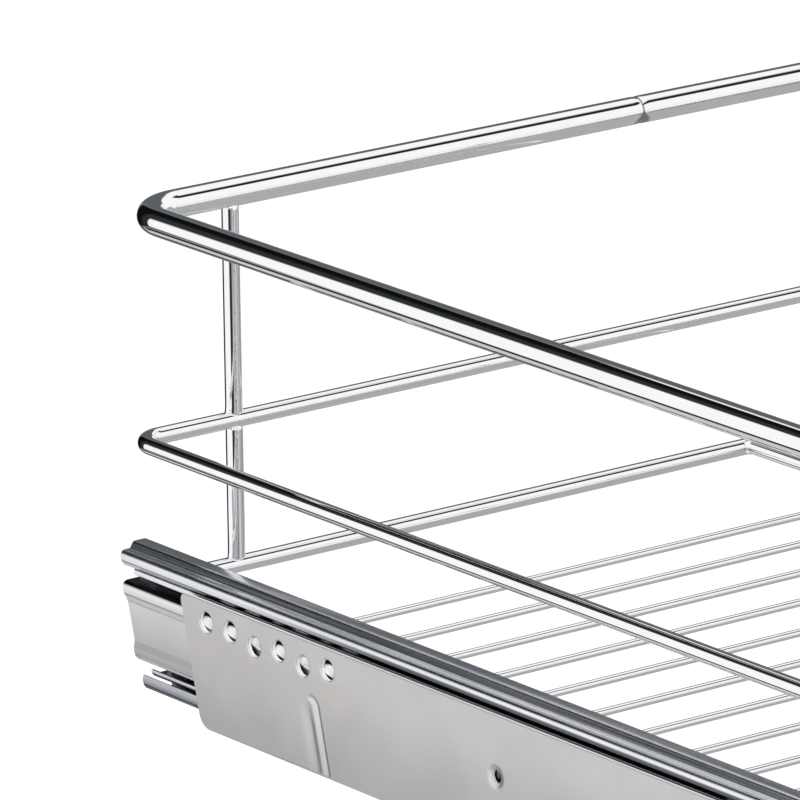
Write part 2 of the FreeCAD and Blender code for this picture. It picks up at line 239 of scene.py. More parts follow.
def studio_world():
    """White round the camera's view; to polished metal, a white studio with grey and dark areas."""
    world = bpy.data.worlds.new("studio")
    bpy.context.scene.world = world
    world.use_nodes = True
    tree = world.node_tree
    tree.nodes.clear()
    direction = node(tree, "TexCoord").outputs["Generated"]
    parts = axes(tree, direction)
    azimuth = calc(tree, "DEGREES", calc(tree, "ARCTAN2", parts[0], parts[1]))
    elevation = calc(tree, "DEGREES", calc(tree, "ARCSINE", parts[2]))
    level = 1.0
    for west, east, low, high, soft, brightness in STUDIO:
        across = band(tree, azimuth, west, east, soft) if east - west < 360 else 1.0
        mask = calc(tree, "MULTIPLY", across, band(tree, elevation, low, high, soft))
        level = node(tree, "Mix", {0: mask, 2: level, 3: brightness}).outputs[0]
    slit = calc(tree, "MULTIPLY", band(tree, azimuth, *SLIT), ramp(tree, parts[1], *SLIT_Y))
    path = node(tree, "LightPath").outputs
    for share, brightness in ((slit, SLIT_BRIGHTNESS), (path["Is Diffuse Ray"], LEVEL_ON_MATT),
                              (path["Is Camera Ray"], 1.0), (path["Is Transmission Ray"], 1.0)):
        level = node(tree, "Mix", {0: share, 2: level, 3: brightness}).outputs[0]
    shade = calc(tree, "POWER", calc(tree, "SUBTRACT", 1.0, level), 3.0)
    tinge = calc(tree, "MULTIPLY", calc(tree, "MULTIPLY", level, shade), TINGE)
    channels = {0: calc(tree, "SUBTRACT", level, tinge), 1: level, 2: calc(tree, "ADD", level, tinge)}
    colour = node(tree, "CombineColor", channels).outputs[0]
    background = node(tree, "Background", {"Color": colour, "Strength": 1.0})
    output = node(tree, "OutputWorld")
    tree.links.new(background.outputs[0], output.inputs[0])


def add_lamp(name, place, size, power):
    data = bpy.data.lights.new(name, "AREA")
    data.shape = "DISK"
    data.size = size
    data.energy = power
    lamp = bpy.data.objects.new(name, data)
    lamp.location = Vector(place)
    lamp.rotation_euler = (-Vector(place)).to_track_quat("-Z", "Y").to_euler()
    lamp.visible_glossy = False
    bpy.context.scene.collection.objects.link(lamp)


def add_floor():
    """Plain pale floor well below the rack, which hangs from a cupboard's walls."""
    mesh = bpy.data.meshes.new("floor")
    corners = [(x * FLOOR_HALF, y * FLOOR_HALF, FLOOR_Z) for x, y in ((-1, -1), (1, -1), (1, 1), (-1, 1))]
    mesh.from_pydata(corners, [], [(0, 1, 2, 3)])
    floor = bpy.data.objects.new("floor", mesh)
    bpy.context.scene.collection.objects.link(floor)
    material = bpy.data.materials.new("floor")
    material.use_nodes = True
    tree = material.node_tree
    shader = tree.nodes["Principled BSDF"]
    shader.inputs["Base Color"].default_value = (0.8, 0.8, 0.8, 1)
    shader.inputs["Roughness"].default_value = 0.9
    path = node(tree, "LightPath").outputs
    seen = calc(tree, "MAXIMUM", path["Is Camera Ray"], path["Is Transmission Ray"])
    shader.inputs["Emission Color"].default_value = (1, 1, 1, 1)
    tree.links.new(calc(tree, "MULTIPLY", seen, 0.3), shader.inputs["Emission Strength"])
    mesh.materials.append(material)
    floor.visible_glossy = False


# Materials. Heights and distances on a piece are in metres, as its own coordinates are; a bump's depth and
# the reach of crevices are in millimetres

def metal(name, colour, roughness):
    """A bare metal: its node tree, shader and a place on the piece."""
    material = bpy.data.materials.new(name)
    material.use_nodes = True
    tree = material.node_tree
    shader = tree.nodes["Principled BSDF"]
    shader.inputs["Metallic"].default_value = 1.0
    shader.inputs["Base Color"].default_value = (*colour, 1)
    shader.inputs["Roughness"].default_value = roughness
    return material, tree, shader, node(tree, "TexCoord").outputs["Object"]


def add_bump(tree, shader, height, strength, depth):
    inputs = {"Height": height, "Strength": strength, "Distance": depth * MM}
    tree.links.new(node(tree, "Bump", inputs).outputs[0], shader.inputs["Normal"])


def shaded(tree, tint, reach, low, high):
    """The tint with painted shade: darker in crevices and under lips, where less of the surroundings within
    reach is open.
    """
    open_share = node(tree, "AmbientOcclusion", {"Distance": reach * MM}, samples=8).outputs["AO"]
    return blend_colour(tree, ramp(tree, open_share, low, high, 1.0, 0.0), tint, (0.02, 0.02, 0.022, 1))


def weld_mark(tree, place):
    """Where the rim's butt weld is dull: a thin line round the rod that widens on its underside."""
    across, along, height = axes(tree, place)
    away = calc(tree, "ABSOLUTE", calc(tree, "SUBTRACT", across, SEAM_X * MM))
    reach = ramp(tree, height, (RIM_Z + 1) * MM, (RIM_Z - 3.5) * MM, 0.0006, 0.0045)
    mark = ramp(tree, calc(tree, "DIVIDE", away, reach), 0.4, 1.0, 0.8, 0.0)
    at_rim = ramp(tree, height, (RIM_Z - 8) * MM, (RIM_Z - 6) * MM)
    return calc(tree, "MULTIPLY", calc(tree, "MULTIPLY", mark, at_rim), ramp(tree, along, 0.22, 0.225))


def chrome(name, haze):
    """Polished chrome plate over drawn wire: a faint unevenness, and a haze of handling in places."""
    material, tree, shader, place = metal(name, (0.87, 0.875, 0.88), haze)
    smears = noise(tree, place, 90, 4)
    tree.links.new(ramp(tree, smears, 0.35, 0.8, haze, 2.2 * haze), shader.inputs["Roughness"])
    tint = blend_colour(tree, smears, (0.96, 0.962, 0.965, 1), (0.90, 0.905, 0.915, 1))
    tint = blend_colour(tree, weld_mark(tree, place), tint, (0.2, 0.2, 0.21, 1))
    tree.links.new(tint, shader.inputs["Base Color"])
    add_bump(tree, shader, noise(tree, place, 70, 1), 0.015, 0.05)
    return material


def zinc_tint_and_shade(tree, place, facing_up, colour, shade):
    """Cloudy zinc, with painted shade at the section's foot, in crevices and, away from the rear end, under
    the bead.
    """
    _, along, height = axes(tree, place)
    clouds = noise(tree, place, 35, 3)
    tint = blend_colour(tree, ramp(tree, clouds, 0.3, 0.7), (*colour, 1), (*shade, 1))
    # Painted shade: darker towards the section's foot.
    tint = blend_colour(tree, ramp(tree, height, 0.004, 0.012), (0.22, 0.23, 0.26, 1), tint)
    # Painted shade under the bead away from the rear end, and in crevices.
    front_of_bead = calc(tree, "MULTIPLY", ramp(tree, along, 0.2, 0.06), ramp(tree, height, 0.042, 0.0445))
    under = calc(tree, "MULTIPLY", ramp(tree, facing_up, 0.25, 0.0), front_of_bead)
    return blend_colour(tree, under, shaded(tree, tint, 12, 0.22, 0.62), (0.1, 0.105, 0.12, 1))


def flange_dullness(tree, place, facing_up):
    """How matt the top flange is at its step and on its shelf next to the bead, more so towards the front."""
    across, along, _ = axes(tree, place)
    outwards = calc(tree, "SUBTRACT", calc(tree, "ABSOLUTE", across), WEB_X * MM)
    step_line = calc(tree, "MULTIPLY", band(tree, outwards, 0.0053, 0.0063, 0.0004), 0.2)
    shelf = ramp(tree, outwards, 0.0080, 0.0105)
    shelf = calc(tree, "MULTIPLY", shelf, ramp(tree, outwards, 0.0105, 0.0110, 0.58, 0.0))
    dulled = calc(tree, "MULTIPLY", calc(tree, "MAXIMUM", step_line, shelf), ramp(tree, facing_up, 0.5, 0.8))
    return calc(tree, "MULTIPLY", dulled, ramp(tree, along, 0.22, 0.0))


def zinc(name, colour, shade, roughness):
    """Bright zinc plate on roll-formed strip, with fine lines along the slide and a duller web."""
    material, tree, shader, place = metal(name, colour, roughness)
    facing_up = facing(tree)[2]
    tree.links.new(zinc_tint_and_shade(tree, place, facing_up, colour, shade), shader.inputs["Base Color"])
    lines = noise(tree, place, 1.0, 3, (2600, 9, 2600))
    streaked = ramp(tree, lines, 0.3, 0.7, 0.8 * roughness, 1.25 * roughness)
    from_middle = calc(tree, "ABSOLUTE", calc(tree, "SUBTRACT", axes(tree, place)[2], 0.027))
    web = ramp(tree, from_middle, 0.012, 0.015, 1.0, 0.0)
    tree.links.new(node(tree, "Mix", {0: web, 2: streaked, 3: 0.5}).outputs[0], shader.inputs["Roughness"])
    metallic = calc(tree, "SUBTRACT", 1.0, flange_dullness(tree, place, facing_up))
    tree.links.new(metallic, shader.inputs["Metallic"])
    add_bump(tree, shader, lines, 0.1, 0.02)
    return material


def sheared(tree, tint, height, normal):
    """Cut edges of thick plate, matt, with a painted highlight where they face up or forwards and painted
    shade where they face down.
    """
    edge = ramp(tree, calc(tree, "ABSOLUTE", normal[0]), 0.1, 0.5, 1.0, 0.0)
    # Painted highlight and painted shade by the way the cut edge faces.
    light = calc(tree, "MAXIMUM", ramp(tree, normal[2], -0.1, 0.3), ramp(tree, normal[1], -0.4, -0.8))
    cut = blend_colour(tree, light, (0.03, 0.03, 0.03, 1), (0.98, 0.98, 1.0, 1))
    return blend_colour(tree, edge, tint, cut), edge


def rolled(tree, tint, height, normal):
    """Folds of roll-formed strip with painted light: a painted highlight on faces turned down and along the
    crown, painted shade on faces turned up and lower down, and black painted shade on top.
    """
    # Painted highlight on faces turned down and along the crown.
    painted_highlight = calc(tree, "MAXIMUM", ramp(tree, normal[2], 0.0, -0.2), ramp(tree, height, 0.0355, 0.0375))
    # Painted shade: faces turned up are a middle grey, and the lower part darker.
    tint = blend_colour(tree, ramp(tree, normal[2], 0.05, 0.3), tint, (0.56, 0.56, 0.57, 1))
    tint = blend_colour(tree, ramp(tree, height, 0.034, 0.012, 0.0, 0.35), tint, (0.3, 0.3, 0.31, 1))
    tint = blend_colour(tree, painted_highlight, tint, (0.97, 0.98, 1.0, 1))
    # Painted shade: black on faces that turn up.
    tint = blend_colour(tree, ramp(tree, normal[2], 0.5, 0.75), tint, (0.012, 0.012, 0.014, 1))
    edge = ramp(tree, calc(tree, "ABSOLUTE", normal[1]), 0.7, 0.9)
    return tint, edge


def satin(name, roughness, low, high, finish):
    """Satin zinc: lighter towards the top as painted light, and warmer there, in soft clouds, with matt ends
    and edges and painted shade in crevices near the top and the foot.
    """
    material, tree, shader, place = metal(name, (high, high, high), roughness)
    height = axes(tree, place)[2]
    clouds = noise(tree, place, 16, 2)
    patches = noise(tree, place, 42, 4)
    # Painted light: lighter towards the top, and darker and cooler low down.
    cloudy = calc(tree, "ADD", height, calc(tree, "MULTIPLY", clouds, 0.03))
    cool, warm = (low, low, 1.04 * low, 1), (1.01 * high, 0.99 * high, 0.97 * high, 1)
    base = blend_colour(tree, ramp(tree, cloudy, 0.012, 0.058), cool, warm)
    rosy = (1.04 * high, 0.97 * high, 0.95 * high, 1)
    tint = blend_colour(tree, ramp(tree, patches, 0.58, 0.76), base, rosy)
    tint, edge = finish(tree, tint, height, facing(tree))
    # Painted shade in crevices near the top and the foot.
    off_middle = calc(tree, "ABSOLUTE", calc(tree, "SUBTRACT", height, 0.0245))
    tint = blend_colour(tree, ramp(tree, off_middle, 0.015, 0.018), tint, shaded(tree, tint, 5, 0.2, 0.75))
    tree.links.new(tint, shader.inputs["Base Color"])
    tree.links.new(ramp(tree, edge, 0.0, 1.0, 1.0, 0.2), shader.inputs["Metallic"])
    grain = ramp(tree, patches, 0.3, 0.7, 0.9 * roughness, 1.12 * roughness)
    tree.links.new(node(tree, "Mix", {0: edge, 2: grain, 3: 0.4}).outputs[0], shader.inputs["Roughness"])
    add_bump(tree, shader, noise(tree, place, 1800, 3), 0.08, 0.02)
    return material


def steel(name, colour, roughness, grain_scale):
    """Plain pressed steel: a little mottled, with a fine grain and painted shade in its crevices."""
    material, tree, shader, place = metal(name, colour, roughness)
    mottle = noise(tree, place, 120, 4)
    worn = tuple(0.82 * c for c in colour)
    tint = blend_colour(tree, mottle, (*colour, 1), (*worn, 1))
    # Painted shade in crevices.
    tree.links.new(shaded(tree, tint, 12, 0.3, 0.9), shader.inputs["Base Color"])
    tree.links.new(ramp(tree, mottle, 0.3, 0.7, 0.8 * roughness, 1.3 * roughness), shader.inputs["Roughness"])
    add_bump(tree, shader, noise(tree, place, grain_scale, 3), 0.1, 0.02)
    return material


def rubber(name):
    """Matt black moulded rubber with a fine texture and a dusty bloom."""
    material, tree, shader, place = metal(name, (0.02, 0.02, 0.022), 0.7)
    shader.inputs["Metallic"].default_value = 0.0
    bloom = ramp(tree, noise(tree, place, 200, 4), 0.4, 0.8)
    tint = blend_colour(tree, bloom, (0.018, 0.018, 0.02, 1), (0.05, 0.05, 0.052, 1))
    tree.links.new(tint, shader.inputs["Base Color"])
    add_bump(tree, shader, noise(tree, place, 3000, 2), 0.3, 0.03)
    return material


MATERIALS = {
    "chrome_rim": chrome("chrome_rim", 0.030),
    "chrome_rod": chrome("chrome_rod", 0.035),
    "chrome_wire": chrome("chrome_wire", 0.045),
    "zinc_rail": zinc("zinc_rail", (0.88, 0.89, 0.93), (0.80, 0.82, 0.88), 0.18),
    "zinc_inner": satin("zinc_inner", 0.30, 0.40, 0.95, rolled),
    "satin_plate": satin("satin_plate", 0.36, 0.61, 0.83, sheared),
    "lug_steel": steel("lug_steel", (0.72, 0.73, 0.75), 0.28, 1500),
    "rivet_steel": steel("rivet_steel", (0.76, 0.77, 0.78), 0.22, 900),
    "cage_steel": steel("cage_steel", (0.62, 0.63, 0.65), 0.30, 1200),
    "ball_steel": steel("ball_steel", (0.80, 0.80, 0.82), 0.08, 600),
    "buffer_rubber": rubber("buffer_rubber"),
}


# Pieces

def piece(mesh, slot, body, *nodes):
    """Puts a finished mesh in place of its CAD nodes."""
    made = bpy.data.objects.new(mesh.name, mesh)
    bpy.context.scene.collection.objects.link(made)
    mesh.materials.clear()
    mesh.materials.append(MATERIALS[slot])
    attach(made, body)
    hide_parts(*nodes)
    return made


def smooth(mesh, angle=30.0):
    mesh.shade_smooth()
    mesh.set_sharp_from_angle(angle=math.radians(angle))


def rod_mesh(name, centres, up, radius, segments, closed=False):
    """A round rod through the centres. radius gives the size at a ring and an angle round it."""
    points = [Vector(c) * MM for c in centres]
    count = len(points)
    verts, faces = [], []
    for i, point in enumerate(points):
        before = points[(i - 1) % count] if closed or i else point
        after = points[(i + 1) % count] if closed or i < count - 1 else point
        along = (after - before).normalized()
        side = along.cross(up).normalized()
        for k in range(segments):
            angle = 2 * math.pi * k / segments
            reach = radius(i, angle) * MM
            verts.append(point + side * (math.cos(angle) * reach) + up * (math.sin(angle) * reach))
    for i in range(count if closed else count - 1):
        this, following = i * segments, ((i + 1) % count) * segments
        for k in range(segments):
            n = (k + 1) % segments
            faces.append((this + k, following + k, following + n, this + n))
    if not closed:
        faces.append(tuple(range(segments)))
        faces.append(tuple(reversed(range((count - 1) * segments, count * segments))))
    mesh = bpy.data.meshes.new(name)
    mesh.from_pydata(verts, [], faces)
    mesh.update()
    smooth(mesh, 40.0)
    return mesh


def loop_path(half_x, z, bend, extra_rear=()):
    """Centre line of a closed loop with rounded corners, with extra points in its rear run."""
    path = []
    steps = 20
    for corner_x, corner_y, start in ((1, 1, 0), (-1, 1, 90), (-1, -1, 180), (1, -1, 270)):
        centre = (corner_x * (half_x - bend), corner_y * (REAR_Y - bend))
        for i in range(steps + 1):
            angle = math.radians(start + 90 * i / steps)
            path.append((centre[0] + bend * math.cos(angle), centre[1] + bend * math.sin(angle), z))
        if start == 0:
            path += [(x, REAR_Y, z) for x in extra_rear]
    return path


def rim():
    """The rim, a hair under the CAD's facets, with rounded shoulders where its ends are butt-welded."""
    steps = (0.1, 0.3, 0.6, 1.0, 1.5, 2.0, 2.6, 3.2)
    offsets = [*reversed(steps), 0.0, *(-s for s in steps)]
    path = loop_path(RIM_X, RIM_Z, RIM_BEND, [SEAM_X + s for s in offsets])

    def radius(i, angle):
        x, y, _ = path[i]
        away = abs(x - SEAM_X) / SEAM_REACH
        shoulder = 1 - math.sqrt(1 - (1 - away) ** 2) if y > REAR_Y - 1 and away < 1 else 0.0
        return RIM_R - RIM_UNDER - SEAM_DEPTH * shoulder

    mesh = rod_mesh("top_rim_rod", path, Vector((0, 0, 1)), radius, 56, closed=True)
    piece(mesh, "chrome_rim", "basket", "top_rim")


def rails():
    for name, half_x, z in (("mid_rail", RIM_X, MID_Z), ("bottom_rail", RAIL_X, FRAME_Z)):
        path = loop_path(half_x, z, RAIL_BEND)
        mesh = rod_mesh(name + "_rod", path, Vector((0, 0, 1)), lambda i, angle: ROD_R, 40, closed=True)
        piece(mesh, "chrome_rod", "basket", name)


# Rings of a post: how far from the centre of the rod it meets, as a share of that rod's radius, and
# how much thicker the post is there
POST_FOOT = ((0.0, -1.5), (0.6, -0.9), (0.93, 0.2), (1.0, 0.25), (1.25, 0.12), (1.6, 0.03), (2.0, 0.0))
POST_HEAD = ((1.2, 0.0), (0.97, 0.0), (0.93, -0.05), (0.6, -0.9), (0.0, -1.5))


def welded_post(name, x, y, low, high, low_r, high_r, seed):
    """A post that runs into the rods below and above it, with a small weld round its foot."""
    heights = [low + low_r * share for share, _ in POST_FOOT]
    heights += [high - high_r * share for share, _ in POST_HEAD]
    growth = [more for _, more in POST_FOOT + POST_HEAD]

    def radius(i, angle):
        uneven = 1 + 0.2 * math.sin(2 * angle + seed) + 0.1 * math.sin(5 * angle + seed)
        lump = math.cos(angle) ** 2 * uneven
        return ROD_R + growth[i] * (lump if growth[i] > 0 else 1)

    mesh = rod_mesh(name + "_rod", [(x, y, z) for z in heights], Vector((0, 1, 0)), radius, 40)
    piece(mesh, "chrome_rod", "basket", name)


def posts():
    seed = 0.0
    for end, forward in ENDS:
        for side, sign in SIDES:
            x, y = sign * POST_X, forward * REAR_Y
            welded_post(f"{end}_{side}_upper_post", x, y, MID_Z, RIM_Z, ROD_R, RIM_R, seed)
            welded_post(f"{end}_{side}_lower_post", x, y, FRAME_Z, MID_Z, ROD_R, ROD_R, seed + 1.1)
            seed += 2.3


def floor_wires():
    """Thin cross wires on the side rails, with a small weld under each end."""
    rings = [(WIRE_REACH, 0.0), (WIRE_REACH - WIRE_EASE, 0.5)]
    rings += [(RAIL_X + past, share) for past, share in WIRE_WELD]
    xs = [-x for x, _ in rings] + [x for x, _ in reversed(rings)]
    share = [part for _, part in rings + rings[::-1]]
    last = len(xs) - 1

    def radius(i, angle):
        under = max(0.0, -math.sin(angle))
        ends = WIRE_EASE if i in (0, last) else 0.0
        return WIRE_R - ends + WELD_DEPTH * share[i] * under ** 2

    for i in range(WIRE_COUNT):
        y = ((WIRE_COUNT - 1) / 2 - i) * WIRE_PITCH
        name = f"floor_wire_{i + 1:02d}"
        mesh = rod_mesh(name + "_rod", [(x, y, WIRE_Z) for x in xs], Vector((0, 0, 1)), radius, 24)
        piece(mesh, "chrome_wire", "basket", name)


def centre_support():
    """Rod under the middle of the floor wires, welded between the front and rear rails."""
    z = FRAME_Z + ROD_R - SUPPORT_R
    face = REAR_Y - ROD_R
    ys = [-(face + past) for past, _ in SUPPORT_WELD] + [face + past for past, _ in SUPPORT_WELD[::-1]]
    growth = [more for _, more in SUPPORT_WELD + SUPPORT_WELD[::-1]]
    mesh = rod_mesh("centre_support_rod", [(0, y, z) for y in ys], Vector((0, 0, 1)),
                    lambda i, angle: SUPPORT_R + growth[i], 32)
    piece(mesh, "chrome_rod", "basket", "centre_support")


def rounded(points, radii, offset, steps=7):
    """A folded line in A and B with its corners rounded, moved sideways by the offset."""
    spots = [Vector(p) for p in points]
    turned = []
    first = (spots[1] - spots[0]).normalized()
    turned.append(spots[0] + Vector((-first.y, first.x)) * offset)
    for i in range(1, len(spots) - 1):
        into = (spots[i] - spots[i - 1]).normalized()
        out = (spots[i + 1] - spots[i]).normalized()
        turn = math.atan2(into.x * out.y - into.y * out.x, into.dot(out))
        left = 1 if turn > 0 else -1
        run = radii[i] * math.tan(abs(turn) / 2)
        start = spots[i] - into * run
        centre = start + Vector((-into.y, into.x)) * (left * radii[i])
        arm = (start - centre) * ((radii[i] - left * offset) / radii[i])
        turned += [centre + Matrix.Rotation(turn * k / steps, 2) @ arm for k in range(steps + 1)]
    last = (spots[-1] - spots[-2]).normalized()
    turned.append(spots[-1] + Vector((-last.y, last.x)) * offset)
    return turned


def section_mesh(name, half, radii, sheet, setback=0.0):
    """One roll-formed member of the right slide, with its rear end raked."""
    other = [(a, SLIDE_HEIGHT - b) for a, b in reversed(half)]
    points, bends = half + other, radii + list(reversed(radii))
    one = rounded(points, bends, sheet / 2)
    two = rounded(points, bends, -sheet / 2)
    outline = one + list(reversed(two))
    count = len(outline)
    verts = [Vector((WEB_X + a, SLIDE_FRONT, SLIDE_TOP - b)) * MM for a, b in outline]
    verts += [Vector((WEB_X + a, SLIDE_REAR - setback - b * RAKE, SLIDE_TOP - b)) * MM for a, b in outline]
    faces = [(i, (i + 1) % count, count + (i + 1) % count, count + i) for i in range(count)]
    for i in range(len(one) - 1):
        a, b, c, d = i, i + 1, count - 2 - i, count - 1 - i
        faces.append((d, c, b, a))
        faces.append((count + a, count + b, count + c, count + d))
    mesh = bpy.data.meshes.new(name)
    mesh.from_pydata(verts, [], faces)
    mesh.update()
    tidy_normals(mesh)
    return mesh


def tidy_normals(mesh):
    """Turns all faces outwards and drops points that no face uses."""
    work = bmesh.new()
    work.from_mesh(mesh)
    bmesh.ops.delete(work, geom=[v for v in work.verts if not v.link_faces], context="VERTS")
    bmesh.ops.recalc_face_normals(work, faces=work.faces)
    work.to_mesh(mesh)
    work.free()


def mesh_from(work, name):
    mesh = bpy.data.meshes.new(name)
    work.to_mesh(mesh)
    work.free()
    return mesh


def block_mesh(low, high):
    """A box between two corners, in millimetres."""
    work = bmesh.new()
    bmesh.ops.create_cube(work, size=1.0)
    low, high = Vector(low), Vector(high)
    for v in work.verts:
        v.co = Vector((low[k] + (v.co[k] + 0.5) * (high[k] - low[k]) for k in range(3))) * MM
    return mesh_from(work, "block")


def drill_mesh(y, z, radius, low, high):
    """A round cutter along X."""
    work = bmesh.new()
    turn = Matrix.Translation(Vector(((low + high) / 2, y, z)) * MM) @ Matrix.Rotation(math.pi / 2, 4, "Y")
    bmesh.ops.create_cone(work, cap_ends=True, segments=48, radius1=radius * MM, radius2=radius * MM,
                          depth=(high - low) * MM, matrix=turn)
    return mesh_from(work, "drill")


def combined(mesh, tools, operation):
    """The mesh after a cut or a join with each tool mesh."""
    collection = bpy.context.scene.collection
    base = bpy.data.objects.new("work", mesh)
    collection.objects.link(base)
    helpers = []
    for tool in tools:
        helper = bpy.data.objects.new("tool", tool)
        collection.objects.link(helper)
        helpers.append(helper)
        modifier = base.modifiers.new("step", "BOOLEAN")
        modifier.operation = operation
        modifier.solver = "EXACT"
        modifier.object = helper
    depsgraph = bpy.context.evaluated_depsgraph_get()
    result = bpy.data.meshes.new_from_object(base.evaluated_get(depsgraph))
    work = bmesh.new()
    work.from_mesh(result)
    bmesh.ops.remove_doubles(work, verts=work.verts, dist=0.005 * MM)
    bmesh.ops.dissolve_degenerate(work, edges=work.edges, dist=0.002 * MM)
    work.to_mesh(result)
    work.free()
    for helper in helpers + [base]:
        bpy.data.objects.remove(helper)
    return result


def eased(made):
    """Breaks the sharp edges of a sheet as a press or a tumbler leaves them."""
    smooth(made.data)
    bevel = made.modifiers.new("edges", "BEVEL")
    bevel.width = SHEET_EASE * MM
    bevel.segments = 2
    bevel.limit_method = "ANGLE"
    bevel.angle_limit = math.radians(50)
    bevel.harden_normals = True


def other_side(mesh):
    copy = mesh.copy()
    copy.transform(Matrix.Scale(-1, 4, Vector((1, 0, 0))))
    copy.flip_normals()
    return copy


def both_sides(mesh, ending, slot, bodies, node_name):
    """Places a mesh of the right slide, and its mirror image on the left."""
    for side, sign in SIDES:
        shape = mesh if sign > 0 else other_side(mesh)
        shape.name = f"{side}_{node_name}_{ending}"
        eased(piece(shape, slot, bodies.format(side=side), f"{side}_{node_name}"))


def basket_member():
    """Large C section next to the basket, with its stepped flange and rounded bead."""
    half = [(11.35, 6.8), (12.05, 5.4), (12.05, 2.7), (8.0, 2.7), (6.2, 0.6), (0.6, 0.6)]
    mesh = section_mesh("basket_member", half, [0, 1.0, 1.6, 1.2, 1.2, 1.4], THICK_SHEET)
    both_sides(mesh, "rail", "zinc_rail", "basket", "basket_member")


def middle_member():
    """Middle section, with the stop pressed out of its web."""
    half = [(10.8, 9.6), (10.8, 7.7), (2.3, 7.7)]
    sheet = THIN_SHEET
    mesh = section_mesh("middle_member", half, [0, 1.1, 1.2], sheet, MIDDLE_SETBACK)
    face = WEB_X + MIDDLE_WEB_A
    window = block_mesh((face - 2 * sheet, STOP_Y - STOP_REACH, STOP_LOW), (face + sheet, STOP_Y, STOP_HIGH))
    mesh = combined(mesh, [window], "DIFFERENCE")
    tab = block_mesh((face - sheet, STOP_Y, STOP_LOW), (face + STOP_REACH, STOP_Y + sheet, STOP_HIGH))
    mesh = combined(mesh, [tab], "UNION")
    both_sides(mesh, "rail", "zinc_rail", "{side}_middle", "middle_member")


def wall_member():
    """Small section whose ears carry the wall plate."""
    half = [(5.75, 10.9), (5.75, 12.7), (13.35, 12.7), (13.35, 16.2), (12.35, 18.7)]
    sheet = THICK_SHEET
    mesh = section_mesh("wall_member", half, [0, 1.0, 1.8, 2.0, 2.0], sheet)
    face = WEB_X + WALL_WEB_A
    foot = WALL_STOP_Y - sheet
    cuts = [block_mesh((face - sheet, foot - WALL_STOP_REACH, STOP_LOW), (face + 2 * sheet, foot, STOP_HIGH))]
    cuts += [drill_mesh(y, z, SCREW_R, face + DRILL_SPAN[0], face + DRILL_SPAN[1]) for y, z in SCREWS]
    mesh = combined(mesh, cuts, "DIFFERENCE")
    tab = block_mesh((face - WALL_STOP_REACH, foot, STOP_LOW), (face + sheet, WALL_STOP_Y, STOP_HIGH))
    mesh = combined(mesh, [tab], "UNION")
    both_sides(mesh, "rail", "zinc_inner", "cabinet_side", "wall_member")


def hole_places():
    """Y and Z of the plate's wide holes: a staggered row at the rear, and its mirror image in front."""
    places = []
    for i in range(HOLE_COUNT):
        y, z = HOLE_REAR - HOLE_PITCH * i, HOLE_LOW_Z if i in LOW_HOLES else HOLE_Z
        places += [(y, z), (2 * PLATE_MIDDLE - y, z)]
    return places


def plate_outline(inset):
    """Outline of the wall plate in Y and Z, with its corners rounded, moved inwards."""
    corners = [(PLATE_FRONT, 0), (PLATE_REAR - PLATE_HEIGHT * LEAN, 0), (PLATE_REAR, PLATE_HEIGHT),
               (PLATE_FRONT, PLATE_HEIGHT)]
    radii = [PLATE_FOOT_R, PLATE_FOOT_R, PLATE_TOP_R, PLATE_TOP_R]
    spots = [Vector(c) for c in corners]
    found = []
    for i, corner in enumerate(spots):
        into = (corner - spots[i - 1]).normalized()
        out = (spots[(i + 1) % 4] - corner).normalized()
        turn = math.atan2(into.x * out.y - into.y * out.x, into.dot(out))
        start = corner - into * (radii[i] * math.tan(turn / 2))
        centre = start + Vector((-into.y, into.x)) * radii[i]
        arm = (start - centre) * ((radii[i] - inset) / radii[i])
        steps = 14
        found += [centre + Matrix.Rotation(turn * k / steps, 2) @ arm for k in range(steps + 1)]
    return found


def ring(y, z, radius, steps=40):
    turns = [2 * math.pi * k / steps for k in range(steps)]
    return [Vector((y + radius * math.cos(t), z + radius * math.sin(t))) for t in turns]


def step(value, low, high):
    t = min(1.0, max(0.0, (value - low) / (high - low)))
    return t * t * (3 - 2 * t)


def groove_front(z):
    return GROOVE_FRONT + (z - GROOVE_TOP) * LEAN


def groove_depth(y, z):
    """The groove's sharp front wall runs round its top; behind it the sheet is drawn in softly."""
    across = y - groove_front(z)
    top = GROOVE_TOP - GROOVE_R
    inside, wall = across, GROOVE_DEPTH
    dip = GROOVE_DIP * (1 - step(z, top - 8, top + GROOVE_R))
    if z > top:
        inside = GROOVE_R - math.hypot(across - GROOVE_R, z - top)
        turn = math.degrees(math.atan2(z - top, GROOVE_R - across))
        wall *= 1 - step(turn, 70, 160)
    wall *= step(inside, 0.0, 1.6) * (1 - step(inside, 1.2, 4.2))
    return wall + dip * step(across, 4.0, 7.0) * (1 - step(across, 6.5, 12.5))


def press_depth(y, z, holes):
    """How far the plate's outer face lies in: groove, dimpled screw holes, rolled hole edges."""
    depth = groove_depth(y, z)
    for place_y, place_z, radius in holes:
        reach = math.hypot(y - place_y, z - place_z) - radius
        if radius == SCREW_R:
            depth += DIMPLE_DEPTH * (1 - step(reach, 0, DIMPLE_REACH))
        elif reach < HOLE_ROLL:
            depth += HOLE_ROLL - math.sqrt(HOLE_ROLL ** 2 - (HOLE_ROLL - max(reach, 0)) ** 2)
    return depth


